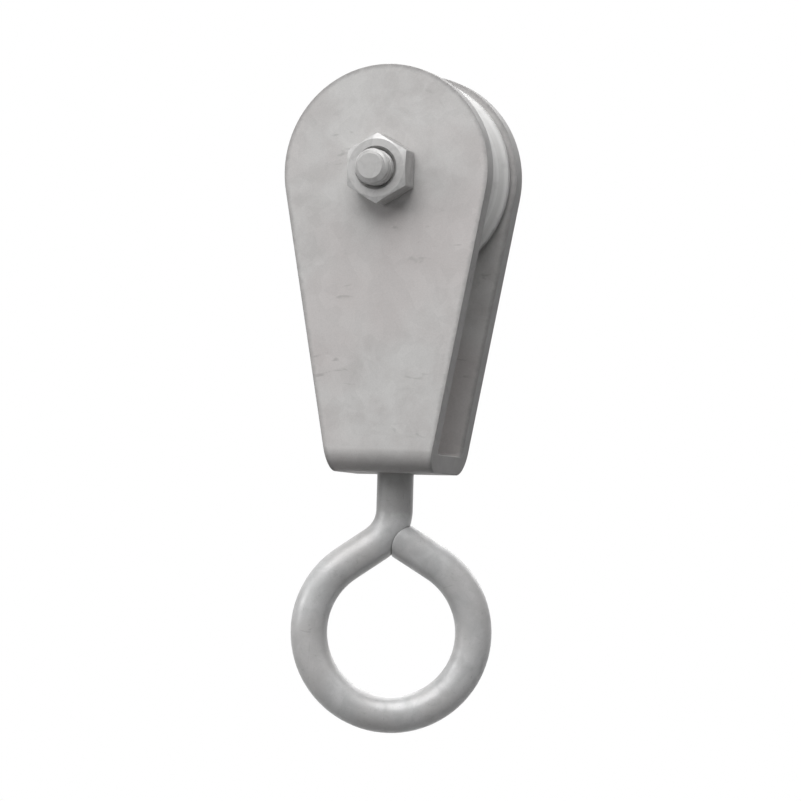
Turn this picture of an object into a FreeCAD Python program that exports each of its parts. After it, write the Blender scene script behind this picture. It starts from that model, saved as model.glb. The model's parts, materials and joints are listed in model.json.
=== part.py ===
import FreeCAD, Part
import os
import Sketcher

# Hanging pulley for a wire rope. A plate folded to a U carries a grooved wheel on an M6 bolt,
# and a round-rod eye swivels in the bend below it.
# X runs along the rope, Y along the axle with the nut at -Y, Z up.
# The origin is on the rope's centreline, straight below the axle.

doc = FreeCAD.newDocument("wire_rope_pulley")
sheet = doc.addObject("Spreadsheet::Sheet", "sizes")

# Driving dimensions: millimetres, and degrees where the name says angle
driving_sizes = [
    ("rope_diameter", 8.0, "wire rope that the wheel runs on"),
    ("groove_ease", 0.25, "groove radius over the rope's radius"),
    ("groove_depth", 3.2, "from the wheel's rim to the bottom of its groove"),
    ("groove_floor_radius", 13.5, "axle to the bottom of the groove"),
    ("lip_width", 1.2, "flat rim each side of the groove"),
    ("rim_chamfer", 0.3, "broken edges of the wheel"),
    ("shoulder_height", 1.0, "lip that stops the bearing in the wheel"),
    ("bearing_diameter", 19.0, "outside of the ball bearing"),
    ("bearing_width", 6.0, "ball bearing"),
    ("ring_chamfer", 0.3, "corners of the bearing rings"),
    ("ball_diameter", 3.5, "ball"),
    ("ball_count", 7, "balls in the bearing"),
    ("ball_play", 0.03, "between a ball and the bottom of a race"),
    ("race_ease", 0.07, "race radius over the ball's radius"),
    ("race_depth", 0.5, "depth of each race"),
    ("shield_thickness", 0.3, "bearing shield"),
    ("shield_inset", 0.2, "shield below the ring's face"),
    ("shield_bite", 0.4, "step in the outer ring that holds the shield"),
    ("shield_gap", 0.3, "from the shield to the inner ring"),
    ("cage_wall", 1.3, "radial thickness of the ball cage"),
    ("cage_web", 0.35, "back of the cage behind each ball"),
    ("cage_front", 1.2, "prongs of the cage, from the balls' centres"),
    ("pocket_play", 0.1, "between a ball and its pocket"),
    ("bolt_diameter", 5.9, "M6 bolt over its threads"),
    ("bolt_fit", 0.05, "play round the bolt in bearing, spacers and nut"),
    ("cheek_hole_play", 0.2, "play round the bolt in the cheeks"),
    ("bolt_end", 3.0, "bolt standing out past the nut"),
    ("bolt_chamfer", 0.9, "chamfer of the bolt's end"),
    ("hexagon_width", 10.0, "across the flats of nut and head"),
    ("hexagon_chamfer_angle", 30.0, "chamfer of nut and head"),
    ("head_height", 4.0, "bolt head"),
    ("nut_height", 5.0, "nut"),
    ("thread_mouth", 0.6, "countersink of the nut's thread"),
    ("spacer_wall", 1.5, "sleeve between bearing and cheek"),
    ("plate_thickness", 3.0, "folded plate"),
    ("bend_inner_radius", 0.8, "inside of the fold"),
    ("side_gap", 1.2, "between the wheel and each cheek"),
    ("rim_inset", 0.8, "wheel's rim below the edge of the cheeks"),
    ("cheek_drop", 49.0, "axle to the underside of the fold"),
    ("cheek_angle", 10.5, "each side of a cheek from upright"),
    ("rod_diameter", 6.0, "round rod of the eye"),
    ("swivel_play", 0.1, "between the rod and its hole"),
    ("washer_thickness", 1.0, "washer under the eye's head"),
    ("washer_rim", 1.4, "washer's radius over its hole"),
    ("rivet_rim", 1.5, "upset head's radius over the rod's"),
    ("rivet_height", 3.2, "upset head"),
    ("ring_radius", 13.5, "eye, to the middle of its rod"),
    ("ring_drop", 26.1, "underside of the fold to the middle of the eye"),
    ("neck_radius", 7.0, "bend from the shank into the ring"),
    ("neck_angle", 55.0, "turn of that bend"),
    ("seam_gap", 0.1, "between the rod's cut end and the neck"),
    ("eye_angle", 20.0, "eye as it hangs, turned from the cheeks"),
]
for row, (alias, size, meaning) in enumerate(driving_sizes, start=1):
    sheet.set(f"A{row}", meaning)
    sheet.set(f"B{row}", str(size))
    sheet.setAlias(f"B{row}", alias)
doc.recompute()


def value(expression):
    return float(sheet.evalExpression(expression))


# Heights and widths that follow from the driving dimensions, written as expressions.
# Wheel, measured from the axle
groove_radius = "(sizes.rope_diameter / 2 + sizes.groove_ease)"
flange_radius = "(sizes.groove_floor_radius + sizes.groove_depth)"
groove_half_width = f"sqrt(2 * {groove_radius} * sizes.groove_depth - sizes.groove_depth ^ 2)"
wheel_half_width = f"({groove_half_width} + sizes.lip_width)"
bearing_radius = "(sizes.bearing_diameter / 2)"
bearing_half_width = "(sizes.bearing_width / 2)"

# Bolt and what sits round it
bolt_radius = "(sizes.bolt_diameter / 2)"
bore_radius = f"({bolt_radius} + sizes.bolt_fit)"
hexagon_corner_radius = "(sizes.hexagon_width / sqrt(3))"

# Bearing, measured from the axle
ball_radius = "(sizes.ball_diameter / 2)"
pitch_radius = f"(({bore_radius} + {bearing_radius}) / 2)"
race_radius = f"({ball_radius} + sizes.race_ease)"
race_half_width = f"sqrt(2 * {race_radius} * sizes.race_depth - sizes.race_depth ^ 2)"
outer_race_floor = f"({pitch_radius} + {ball_radius} + sizes.ball_play)"
inner_race_floor = f"({pitch_radius} - {ball_radius} - sizes.ball_play)"
outer_land_radius = f"({outer_race_floor} - sizes.race_depth)"
inner_land_radius = f"({inner_race_floor} + sizes.race_depth)"
shield_seat_radius = f"({outer_land_radius} + sizes.shield_bite)"
shield_depth = "(sizes.shield_inset + sizes.shield_thickness)"
pocket_radius = f"({ball_radius} + sizes.pocket_play)"

# Housing
axle_height = "(sizes.groove_floor_radius + sizes.rope_diameter / 2)"
inner_half_depth = f"({wheel_half_width} + sizes.side_gap)"
outer_half_depth = f"({inner_half_depth} + sizes.plate_thickness)"
cheek_radius = f"({flange_radius} + sizes.rim_inset)"
underside = f"({axle_height} - sizes.cheek_drop)"
fold_floor = f"({underside} + sizes.plate_thickness)"

# Eye, measured from the bearing face of its head
rod_radius = "(sizes.rod_diameter / 2)"
rod_hole_radius = f"({rod_radius} + sizes.swivel_play)"
head_seat = f"({fold_floor} + sizes.washer_thickness)"
head_radius = f"({rod_radius} + sizes.rivet_rim)"
ring_middle = "(-sizes.plate_thickness - sizes.washer_thickness - sizes.ring_drop)"


def new_body(label):
    body = doc.addObject("PartDesign::Body", label)
    body.Label = label
    return body


def new_sketch(body, plane, name):
    sketch = body.newObject("Sketcher::SketchObject", f"{body.Name}_{name}")
    origin_plane = next(item for item in body.Origin.OriginFeatures if item.Role == plane)
    sketch.AttachmentSupport = (origin_plane, [""])
    sketch.MapMode = "FlatFace"
    return sketch


def pin_point(sketch, geometry, point, place):
    # Holds one point of the sketch at a place given by two expressions
    for kind, expression in zip(("DistanceX", "DistanceY"), place):
        constraint = Sketcher.Constraint(kind, -1, 1, geometry, point, value(expression))
        index = sketch.addConstraint(constraint)
        sketch.setExpression(f"Constraints[{index}]", expression)


def draw_chain(sketch, corners, arcs=None, closed=True):
    # Joins corners by lines, or by arcs where arcs names the corner that one starts from.
    # An arc is (x of its centre, y of its centre, whether it is the long way round).
    arcs = arcs or {}
    points = [FreeCAD.Vector(value(x), value(y), 0) for x, y in corners]
    count = len(corners) if closed else len(corners) - 1
    ends = []
    for index in range(count):
        start = points[index]
        finish = points[(index + 1) % len(points)]
        if index in arcs:
            centre_x, centre_y, long_way = arcs[index]
            centre = FreeCAD.Vector(value(centre_x), value(centre_y), 0)
            towards = (start + finish) * 0.5 - centre
            towards.normalize()
            reach = (start - centre).Length * (-1 if long_way else 1)
            geometry = sketch.addGeometry(Part.Arc(start, centre + towards * reach, finish))
            forward = (sketch.getPoint(geometry, 1) - start).Length < 1e-6
            # The free coordinate of the centre is the one along the chord's bisector
            sideways = abs(towards.x) > abs(towards.y)
            kind = "DistanceX" if sideways else "DistanceY"
            place = centre_x if sideways else centre_y
            held = sketch.addConstraint(Sketcher.Constraint(kind, -1, 1, geometry, 3, value(place)))
            sketch.setExpression(f"Constraints[{held}]", place)
        else:
            geometry = sketch.addGeometry(Part.LineSegment(start, finish))
            forward = True
        ends.append((geometry, 1 if forward else 2, 2 if forward else 1))
    for index in range(count):
        geometry, first, last = ends[index]
        pin_point(sketch, geometry, first, corners[index])
        if closed or index + 1 < count:
            following, following_first, _ = ends[(index + 1) % count]
            sketch.addConstraint(
                Sketcher.Constraint("Coincident", geometry, last, following, following_first)
            )
        else:
            pin_point(sketch, geometry, last, corners[-1])


def draw_circle(sketch, radius, height="0"):
    centre = FreeCAD.Vector(0, value(height), 0)
    circle = sketch.addGeometry(Part.Circle(centre, FreeCAD.Vector(0, 0, 1), value(radius)))
    pin_point(sketch, circle, 3, ("0", height))
    index = sketch.addConstraint(Sketcher.Constraint("Radius", circle, value(radius)))
    sketch.setExpression(f"Constraints[{index}]", radius)


def draw_hexagon(sketch):
    # Corners at the top and bottom
    half_flat = "(sizes.hexagon_width / 2)"
    half_side = f"({hexagon_corner_radius} / 2)"
    corners = [
        ("0", hexagon_corner_radius),
        (f"-{half_flat}", half_side),
        (f"-{half_flat}", f"-{half_side}"),
        ("0", f"-{hexagon_corner_radius}"),
        (half_flat, f"-{half_side}"),
        (half_flat, half_side),
    ]
    draw_chain(sketch, corners)


def add_pad(body, sketch, length, both_ways=False, backwards=False):
    pad = body.newObject("PartDesign::Pad", f"{sketch.Name}_pad")
    pad.Profile = sketch
    pad.setExpression("Length", length)
    pad.SideType = "Symmetric" if both_ways else "One side"
    pad.Reversed = backwards
    return pad


def cut_through(body, sketch, both_ways=False):
    # One way is against the sketch's normal
    pocket = body.newObject("PartDesign::Pocket", f"{sketch.Name}_pocket")
    pocket.Profile = sketch
    pocket.SideType = "Symmetric" if both_ways else "One side"
    pocket.Type = "ThroughAll"
    return pocket


def turn(body, sketch, kind="Revolution", axis="H_Axis"):
    feature = body.newObject(f"PartDesign::{kind}", f"{sketch.Name}_turned")
    feature.Profile = sketch
    feature.ReferenceAxis = (sketch, [axis])
    feature.Angle = 360
    return feature


def set_on_axle(body, sideways="0"):
    body.setExpression("Placement.Base.y", sideways)
    body.setExpression("Placement.Base.z", axle_height)


def make_housing():
    body = new_body("housing")
    margin = "sizes.plate_thickness"
    high = f"({axle_height} + {cheek_radius} + {margin})"
    bend_outer = "(sizes.bend_inner_radius + sizes.plate_thickness)"
    bend_inner = "sizes.bend_inner_radius"

    # The plate's fold, seen along the rope
    fold = new_sketch(body, "YZ_Plane", "fold")
    out, inside = outer_half_depth, inner_half_depth
    corners = [
        (f"-{out}", high),
        (f"-{out}", f"{underside} + {bend_outer}"),
        (f"{bend_outer} - {out}", underside),
        (f"{out} - {bend_outer}", underside),
        (out, f"{underside} + {bend_outer}"),
        (out, high),
        (inside, high),
        (inside, f"{fold_floor} + {bend_inner}"),
        (f"{inside} - {bend_inner}", fold_floor),
        (f"{bend_inner} - {inside}", fold_floor),
        (f"-{inside}", f"{fold_floor} + {bend_inner}"),
        (f"-{inside}", high),
    ]
    arcs = {
        1: (f"{bend_outer} - {out}", f"{underside} + {bend_outer}", False),
        3: (f"{out} - {bend_outer}", f"{underside} + {bend_outer}", False),
        7: (f"{inside} - {bend_inner}", f"{fold_floor} + {bend_inner}", False),
        9: (f"{bend_inner} - {inside}", f"{fold_floor} + {bend_inner}", False),
    }
    draw_chain(fold, corners, arcs)
    add_pad(body, fold, f"2 * ({cheek_radius} + {margin})", both_ways=True)

    # The teardrop outline, cut through both cheeks at once
    outline = new_sketch(body, "XZ_Plane", "outline")
    low = f"({underside} - {margin})"
    far = f"({cheek_radius} + 2 * {margin})"
    draw_chain(outline, [
        (f"-{far}", f"{low} - {margin}"),
        (far, f"{low} - {margin}"),
        (far, f"{high} + {margin}"),
        (f"-{far}", f"{high} + {margin}"),
    ])
    tangent_x = f"({cheek_radius} * cos(sizes.cheek_angle))"
    tangent_z = f"({axle_height} - {cheek_radius} * sin(sizes.cheek_angle))"
    taper = f"({tangent_z} - {low}) * tan(sizes.cheek_angle)"
    teardrop = [
        (f"{taper} - {tangent_x}", low),
        (f"{tangent_x} - {taper}", low),
        (tangent_x, tangent_z),
        (f"-{tangent_x}", tangent_z),
    ]
    draw_chain(outline, teardrop, {2: ("0", axle_height, True)})
    cut_through(body, outline, both_ways=True)

    bolt_hole = new_sketch(body, "XZ_Plane", "bolt_hole")
    draw_circle(bolt_hole, f"{bolt_radius} + sizes.cheek_hole_play", axle_height)
    cut_through(body, bolt_hole, both_ways=True)

    eye_hole = new_sketch(body, "XY_Plane", "eye_hole")
    draw_circle(eye_hole, rod_hole_radius)
    cut_through(body, eye_hole)
    return body


def make_sheave():
    body = new_body("sheave")
    set_on_axle(body)
    edge = "sizes.rim_chamfer"
    side = wheel_half_width
    shoulder_radius = f"({bearing_radius} - sizes.shoulder_height)"
    profile = new_sketch(body, "YZ_Plane", "profile")
    corners = [
        (f"-{side}", f"{bearing_radius} + {edge}"),
        (f"-{side}", f"{flange_radius} - {edge}"),
        (f"{edge} - {side}", flange_radius),
        (f"-{groove_half_width}", flange_radius),
        (groove_half_width, flange_radius),
        (f"{side} - {edge}", flange_radius),
        (side, f"{flange_radius} - {edge}"),
        (side, f"{shoulder_radius} + {edge}"),
        (f"{side} - {edge}", shoulder_radius),
        (bearing_half_width, shoulder_radius),
        (bearing_half_width, bearing_radius),
        (f"{edge} - {side}", bearing_radius),
    ]
    groove_centre = f"sizes.groove_floor_radius + {groove_radius}"
    draw_chain(profile, corners, {3: ("0", groove_centre, False)})
    turn(body, profile)
    return body


def make_outer_ring():
    body = new_body("bearing_outer_ring")
    set_on_axle(body)
    half, edge, land = bearing_half_width, "sizes.ring_chamfer", outer_land_radius
    profile = new_sketch(body, "YZ_Plane", "profile")
    corners = [
        (f"-{half}", shield_seat_radius),
        (f"-{half}", f"{bearing_radius} - {edge}"),
        (f"{edge} - {half}", bearing_radius),
        (f"{half} - {edge}", bearing_radius),
        (half, f"{bearing_radius} - {edge}"),
        (half, shield_seat_radius),
        (f"{half} - {shield_depth}", shield_seat_radius),
        (f"{half} - {shield_depth}", land),
        (race_half_width, land),
        (f"-{race_half_width}", land),
        (f"{shield_depth} - {half}", land),
        (f"{shield_depth} - {half}", shield_seat_radius),
    ]
    draw_chain(profile, corners, {8: ("0", f"{outer_race_floor} - {race_radius}", False)})
    turn(body, profile)
    return body


def make_inner_ring():
    body = new_body("bearing_inner_ring")
    set_on_axle(body)
    half, edge, land = bearing_half_width, "sizes.ring_chamfer", inner_land_radius
    profile = new_sketch(body, "YZ_Plane", "profile")
    corners = [
        (f"-{half}", f"{bore_radius} + {edge}"),
        (f"-{half}", land),
        (f"-{race_half_width}", land),
        (race_half_width, land),
        (half, land),
        (half, f"{bore_radius} + {edge}"),
        (f"{half} - {edge}", bore_radius),
        (f"{edge} - {half}", bore_radius),
    ]
    draw_chain(profile, corners, {2: ("0", f"{inner_race_floor} + {race_radius}", False)})
    turn(body, profile)
    return body


def make_balls():
    count = round(value("sizes.ball_count"))
    balls = []
    for index in range(count):
        ball = doc.addObject("Part::Sphere", f"ball_{index + 1}")
        ball.setExpression("Radius", ball_radius)
        angle = f"({index} * 360 / sizes.ball_count)"
        ball.setExpression("Placement.Base.x", f"{pitch_radius} * sin{angle}")
        ball.setExpression("Placement.Base.z", f"{axle_height} + {pitch_radius} * cos{angle}")
        balls.append(ball)
    return balls


def make_cage():
    # A crown: a closed back with pockets that open towards the nut
    body = new_body("bearing_cage")
    set_on_axle(body)
    half_wall = "sizes.cage_wall / 2"
    back = f"{pocket_radius} + sizes.cage_web"
    ring = new_sketch(body, "YZ_Plane", "ring")
    draw_chain(ring, [
        ("-sizes.cage_front", f"{pitch_radius} - {half_wall}"),
        (back, f"{pitch_radius} - {half_wall}"),
        (back, f"{pitch_radius} + {half_wall}"),
        ("-sizes.cage_front", f"{pitch_radius} + {half_wall}"),
    ])
    turn(body, ring)
    pocket_sketch = new_sketch(body, "XY_Plane", "pocket")
    draw_circle(pocket_sketch, pocket_radius)
    pocket = body.newObject("PartDesign::Pocket", "cage_pocket")
    pocket.Profile = pocket_sketch
    pocket.Reversed = True
    pocket.setExpression("Length", bearing_radius)
    pattern = body.newObject("PartDesign::PolarPattern", "cage_pockets")
    pattern.Originals = [pocket]
    axle = next(item for item in body.Origin.OriginFeatures if item.Role == "Y_Axis")
    pattern.Axis = (axle, [""])
    pattern.Angle = 360
    pattern.setExpression("Occurrences", "sizes.ball_count")
    body.Tip = pattern
    return body


def make_ring(label, outer, inner, thickness, middle):
    # A flat ring or sleeve on the axle, middle being its mid-plane's place along the axle
    body = new_body(label)
    set_on_axle(body, middle)
    rings = new_sketch(body, "XZ_Plane", "rings")
    draw_circle(rings, outer)
    draw_circle(rings, inner)
    add_pad(body, rings, thickness, both_ways=True)
    return body


def make_swivel_washer():
    body = new_body("swivel_washer")
    body.setExpression("Placement.Base.z", fold_floor)
    rings = new_sketch(body, "XY_Plane", "rings")
    draw_circle(rings, f"{rod_hole_radius} + sizes.washer_rim")
    draw_circle(rings, rod_hole_radius)
    add_pad(body, rings, "sizes.washer_thickness")
    return body


def chamfer_corner(face, inwards):
    # What a 30 degree chamfer takes off a hexagon at one face: inwards is + or - along the axle
    start = "(0.475 * sizes.hexagon_width)"
    beyond = f"({hexagon_corner_radius} * 1.1)"
    depth = f"({beyond} - {start}) * tan(sizes.hexagon_chamfer_angle)"
    return [(face, start), (face, beyond), (f"{face} {inwards} {depth}", beyond)]


def make_bolt():
    body = new_body("axle_bolt")
    set_on_axle(body)
    tip = f"(-{outer_half_depth} - sizes.nut_height - sizes.bolt_end)"
    edge = "sizes.bolt_chamfer"
    shank = new_sketch(body, "YZ_Plane", "shank")
    draw_chain(shank, [
        (outer_half_depth, "0"),
        (outer_half_depth, bolt_radius),
        (f"{tip} + {edge}", bolt_radius),
        (tip, f"{bolt_radius} - {edge}"),
        (tip, "0"),
    ])
    turn(body, shank)
    head = new_sketch(body, "XZ_Plane", "head")
    head.setExpression("AttachmentOffset.Base.z", f"-{outer_half_depth}")
    draw_hexagon(head)
    add_pad(body, head, "sizes.head_height", backwards=True)
    chamfer = new_sketch(body, "YZ_Plane", "chamfer")
    draw_chain(chamfer, chamfer_corner(f"{outer_half_depth} + sizes.head_height", "-"))
    turn(body, chamfer, "Groove")
    return body


def make_nut():
    body = new_body("axle_nut")
    set_on_axle(body, f"-{outer_half_depth} - sizes.nut_height / 2")
    blank = new_sketch(body, "XZ_Plane", "blank")
    draw_hexagon(blank)
    draw_circle(blank, bore_radius)
    add_pad(body, blank, "sizes.nut_height", both_ways=True)
    face = "sizes.nut_height / 2"
    mouth = f"({bore_radius} + sizes.thread_mouth)"
    chamfers = new_sketch(body, "YZ_Plane", "chamfers")
    draw_chain(chamfers, chamfer_corner(face, "-"))
    draw_chain(chamfers, chamfer_corner(f"-{face}", "+"))
    for sign, inwards in (("", "-"), ("-", "+")):
        draw_chain(chamfers, [
            (f"{sign}{face}", mouth),
            (f"{sign}{face}", f"{bore_radius} - sizes.thread_mouth"),
            (f"{sign}{face} {inwards} 2 * sizes.thread_mouth", f"{bore_radius} - sizes.thread_mouth"),
        ])
    turn(body, chamfers, "Groove")
    return body


def make_eye():
    body = new_body("eye")
    body.setExpression("Placement.Base.z", head_seat)
    body.setExpression("Placement.Rotation.Angle", "sizes.eye_angle")
    ring, bend, lean = "sizes.ring_radius", "sizes.neck_radius", "sizes.neck_angle"

    # Shank, bend to the left, straight shoulder, ring, straight shoulder back to the neck
    shoulder = f"(({ring} * cos({lean}) - {bend} * (1 - cos({lean}))) / sin({lean}))"
    rise = f"({ring} * sin({lean}) + {shoulder} * cos({lean}) + {bend} * sin({lean}))"
    bend_height = f"({ring_middle} + {rise})"
    # The cut end points at the middle of the neck's bend, where the shank's flank meets it square
    reach = f"hypot({bend}; {rise})"
    end_angle = f"(90 deg + atan({bend} / {rise}) - acos({ring} / {reach}))"
    straight = f"sqrt({bend} ^ 2 + {rise} ^ 2 - {ring} ^ 2)"
    share = f"(({bend} + {rod_radius} + sizes.seam_gap) / {straight})"
    leave_x = f"({ring} * cos({end_angle}))"
    leave_z = f"({ring_middle} + {ring} * sin({end_angle}))"
    end_x = f"{leave_x} * {share} - {bend} * (1 - {share})"
    end_z = f"{leave_z} * {share} + {bend_height} * (1 - {share})"
    corners = [
        ("0", "0"),
        ("0", bend_height),
        (f"-{bend} * (1 - cos({lean}))", f"{bend_height} - {bend} * sin({lean})"),
        (f"-{ring} * cos({lean})", f"{ring_middle} + {ring} * sin({lean})"),
        (leave_x, leave_z),
        (end_x, end_z),
    ]
    arcs = {1: (f"-{bend}", bend_height, False), 3: ("0", ring_middle, True)}
    section = new_sketch(body, "XY_Plane", "section")
    draw_circle(section, rod_radius)
    route = new_sketch(body, "XZ_Plane", "route")
    draw_chain(route, corners, arcs, closed=False)
    rod = body.newObject("PartDesign::AdditivePipe", "eye_rod")
    rod.Profile = section
    rod.Spine = route

    # Upset head, a shallow dome
    dome_radius = f"(({head_radius} ^ 2 + sizes.rivet_height ^ 2) / (2 * sizes.rivet_height))"
    dome = new_sketch(body, "XZ_Plane", "dome")
    corners = [("0", "0"), (head_radius, "0"), ("0", "sizes.rivet_height")]
    draw_chain(dome, corners, {1: ("0", f"sizes.rivet_height - {dome_radius}", False)})
    turn(body, dome, axis="V_Axis")
    return body


spacer_outer = f"({bore_radius} + sizes.spacer_wall)"
spacer_length = f"({inner_half_depth} - {bearing_half_width})"
spacer_middle = f"(({inner_half_depth} + {bearing_half_width}) / 2)"
shield_inner = f"({inner_land_radius} + sizes.shield_gap)"
shield_middle = f"({bearing_half_width} - sizes.shield_inset - sizes.shield_thickness / 2)"
shield_size = (shield_seat_radius, shield_inner, "sizes.shield_thickness")
spacer_size = (spacer_outer, bore_radius, spacer_length)

pieces = [
    make_housing(),
    make_sheave(),
    make_outer_ring(),
    make_inner_ring(),
    *make_balls(),
    make_cage(),
    make_ring("shield_front", *shield_size, f"-{shield_middle}"),
    make_ring("shield_rear", *shield_size, shield_middle),
    make_ring("spacer_front", *spacer_size, f"-{spacer_middle}"),
    make_ring("spacer_rear", *spacer_size, spacer_middle),
    make_bolt(),
    make_nut(),
    make_swivel_washer(),
    make_eye(),
]
doc.recompute()

for item in doc.Objects:
    if "Invalid" in item.State or "Error" in item.State:
        raise RuntimeError(f"{item.Label} did not build: {item.State}")
for piece in pieces:
    if piece.Shape.isNull() or not piece.Shape.isValid():
        raise RuntimeError(f"{piece.Label} has no valid shape")

os.makedirs("parts", exist_ok=True)
for piece in pieces:
    piece.Shape.exportStep(f"parts/{piece.Label}.step")
    box = piece.Shape.BoundBox
    low = f"{box.XMin:.2f} {box.YMin:.2f} {box.ZMin:.2f}"
    high = f"{box.XMax:.2f} {box.YMax:.2f} {box.ZMax:.2f}"
    print(f"{piece.Label}: {len(piece.Shape.Solids)} solid, {piece.Shape.Volume:.1f} mm3, {low} to {high}")
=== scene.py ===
import json
import math
import bmesh
import bpy
from mathutils import Matrix, Vector


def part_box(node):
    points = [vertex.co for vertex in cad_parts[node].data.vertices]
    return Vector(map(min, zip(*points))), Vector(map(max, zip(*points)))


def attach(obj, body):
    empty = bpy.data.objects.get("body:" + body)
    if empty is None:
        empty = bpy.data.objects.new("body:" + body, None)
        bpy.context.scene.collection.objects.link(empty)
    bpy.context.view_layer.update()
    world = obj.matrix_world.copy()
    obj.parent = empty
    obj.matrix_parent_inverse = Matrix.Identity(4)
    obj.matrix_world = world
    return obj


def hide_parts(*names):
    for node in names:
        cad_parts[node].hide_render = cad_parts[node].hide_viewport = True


# Wire rope pulley: a folded galvanised plate, a turned wheel on a ball bearing and a swivel eye.
# Metres throughout, X along the rope, Y along the axle, Z up.
# Patterns in materials are measured in millimetres.

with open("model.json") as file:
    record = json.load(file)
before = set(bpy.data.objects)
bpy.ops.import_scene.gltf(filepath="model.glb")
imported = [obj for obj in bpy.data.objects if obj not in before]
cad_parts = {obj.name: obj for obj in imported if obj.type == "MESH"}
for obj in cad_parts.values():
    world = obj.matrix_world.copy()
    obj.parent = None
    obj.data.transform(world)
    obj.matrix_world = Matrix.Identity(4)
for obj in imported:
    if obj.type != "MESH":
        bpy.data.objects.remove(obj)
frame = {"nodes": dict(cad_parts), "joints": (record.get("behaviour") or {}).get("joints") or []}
scene = bpy.context.scene
nodes = frame["nodes"]
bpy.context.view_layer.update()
axle = Vector(next(joint["pos_m"] for joint in frame["joints"] if joint["name"] == "wheel_spin"))
mm = 0.001
print("frame loaded")


# Shared mesh helpers

def newPiece(name, mesh, body, origin=(0, 0, 0)):
    piece = bpy.data.objects.new(name, mesh)
    scene.collection.objects.link(piece)
    piece.location = origin
    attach(piece, body)
    return piece


def smoothMesh(mesh, angle):
    mesh.shade_smooth()
    mesh.set_sharp_from_angle(angle=math.radians(angle))


def softenEdges(piece, width, sharpFrom=28, segments=2):
    # Broken edges, as metal has after turning
    edge = piece.modifiers.new("brokenEdges", "BEVEL")
    edge.width = width
    edge.segments = segments
    edge.limit_method = "ANGLE"
    edge.angle_limit = math.radians(sharpFrom)
    edge.harden_normals = True


def roundedCopy(nodeName, pieceName, body, width, segments=2, flatTo=0.5, sharpFrom=30, shadeFrom=40):
    # The node's own form with its edges rounded off, as metal has after punching
    form = bmesh.new()
    form.from_mesh(nodes[nodeName].data)
    bmesh.ops.remove_doubles(form, verts=form.verts, dist=1e-7)
    bmesh.ops.dissolve_limit(form, angle_limit=math.radians(flatTo), verts=form.verts, edges=form.edges)
    sharp = [edge for edge in form.edges
             if edge.is_manifold and edge.calc_face_angle() > math.radians(sharpFrom)]
    bmesh.ops.bevel(form, geom=sharp, offset=width, offset_type="OFFSET", segments=segments,
                    profile=0.5, affect="EDGES", clamp_overlap=True)
    mesh = bpy.data.meshes.new(pieceName)
    form.to_mesh(mesh)
    form.free()
    smoothMesh(mesh, shadeFrom)
    piece = newPiece(pieceName, mesh, body)
    even = piece.modifiers.new("evenShading", "WEIGHTED_NORMAL")
    even.keep_sharp = True
    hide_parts(nodeName)
    return piece


def skin(rings, name, angle, closed=False):
    # Faces between rings of equally many points; both ends are capped unless the rings close up
    form = bmesh.new()
    rows = [[form.verts.new(point) for point in ring] for ring in rings]
    pairs = list(zip(rows, rows[1:] + rows[:1])) if closed else list(zip(rows, rows[1:]))
    for row, following in pairs:
        for index in range(len(row)):
            after = (index + 1) % len(row)
            form.faces.new((row[index], row[after], following[after], following[index]))
    if not closed:
        form.faces.new(rows[0][::-1])
        form.faces.new(rows[-1])
    bmesh.ops.recalc_face_normals(form, faces=form.faces)
    mesh = bpy.data.meshes.new(name)
    form.to_mesh(mesh)
    form.free()
    smoothMesh(mesh, angle)
    return mesh


def circle(radius, along, angles):
    # A ring about the axle; angles are measured from up, towards +X
    return [Vector((radius * math.sin(a), along, radius * math.cos(a))) for a in angles]


def roundCorners(profile, radius, steps=4, closed=True, straightFrom=170, mostOfSide=0.45):
    # Fillets every corner of a profile, none by more than its sides allow; an open one keeps its two ends
    softened = []
    for index, corner in enumerate(profile):
        corner = Vector(corner)
        before = Vector(profile[index - 1]) - corner
        after = Vector(profile[(index + 1) % len(profile)]) - corner
        angle = before.angle(after)
        isEnd = not closed and index in (0, len(profile) - 1)
        if isEnd or angle > math.radians(straightFrom):
            softened.append(corner)
            continue
        reach = min(radius / math.tan(angle / 2), mostOfSide * before.length, mostOfSide * after.length)
        start, finish = corner + before.normalized() * reach, corner + after.normalized() * reach
        for step in range(steps + 1):
            share = step / steps
            softened.append(start * (1 - share) ** 2 + corner * 2 * share * (1 - share) + finish * share ** 2)
    return softened


def turned(name, profile, body, steps=128):
    # A turned or pressed ring about the axle, from a closed profile of (along, radius) points
    angles = [2 * math.pi * step / steps for step in range(steps)]
    rings = [circle(radius, along, angles) for along, radius in profile]
    return newPiece(name, skin(rings, name, angle=50, closed=True), body, axle)


# Shared material helpers

def seenDirectly(tree):
    # 1 for rays from the camera, from glossy surfaces and through clear ones
    rays = tree.nodes.new("ShaderNodeLightPath")
    shown = rays.outputs["Is Camera Ray"]
    for name in ("Is Glossy Ray", "Is Transmission Ray"):
        either = tree.nodes.new("ShaderNodeMath")
        either.operation = "MAXIMUM"
        tree.links.new(shown, either.inputs[0])
        tree.links.new(rays.outputs[name], either.inputs[1])
        shown = either.outputs[0]
    return shown


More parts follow.
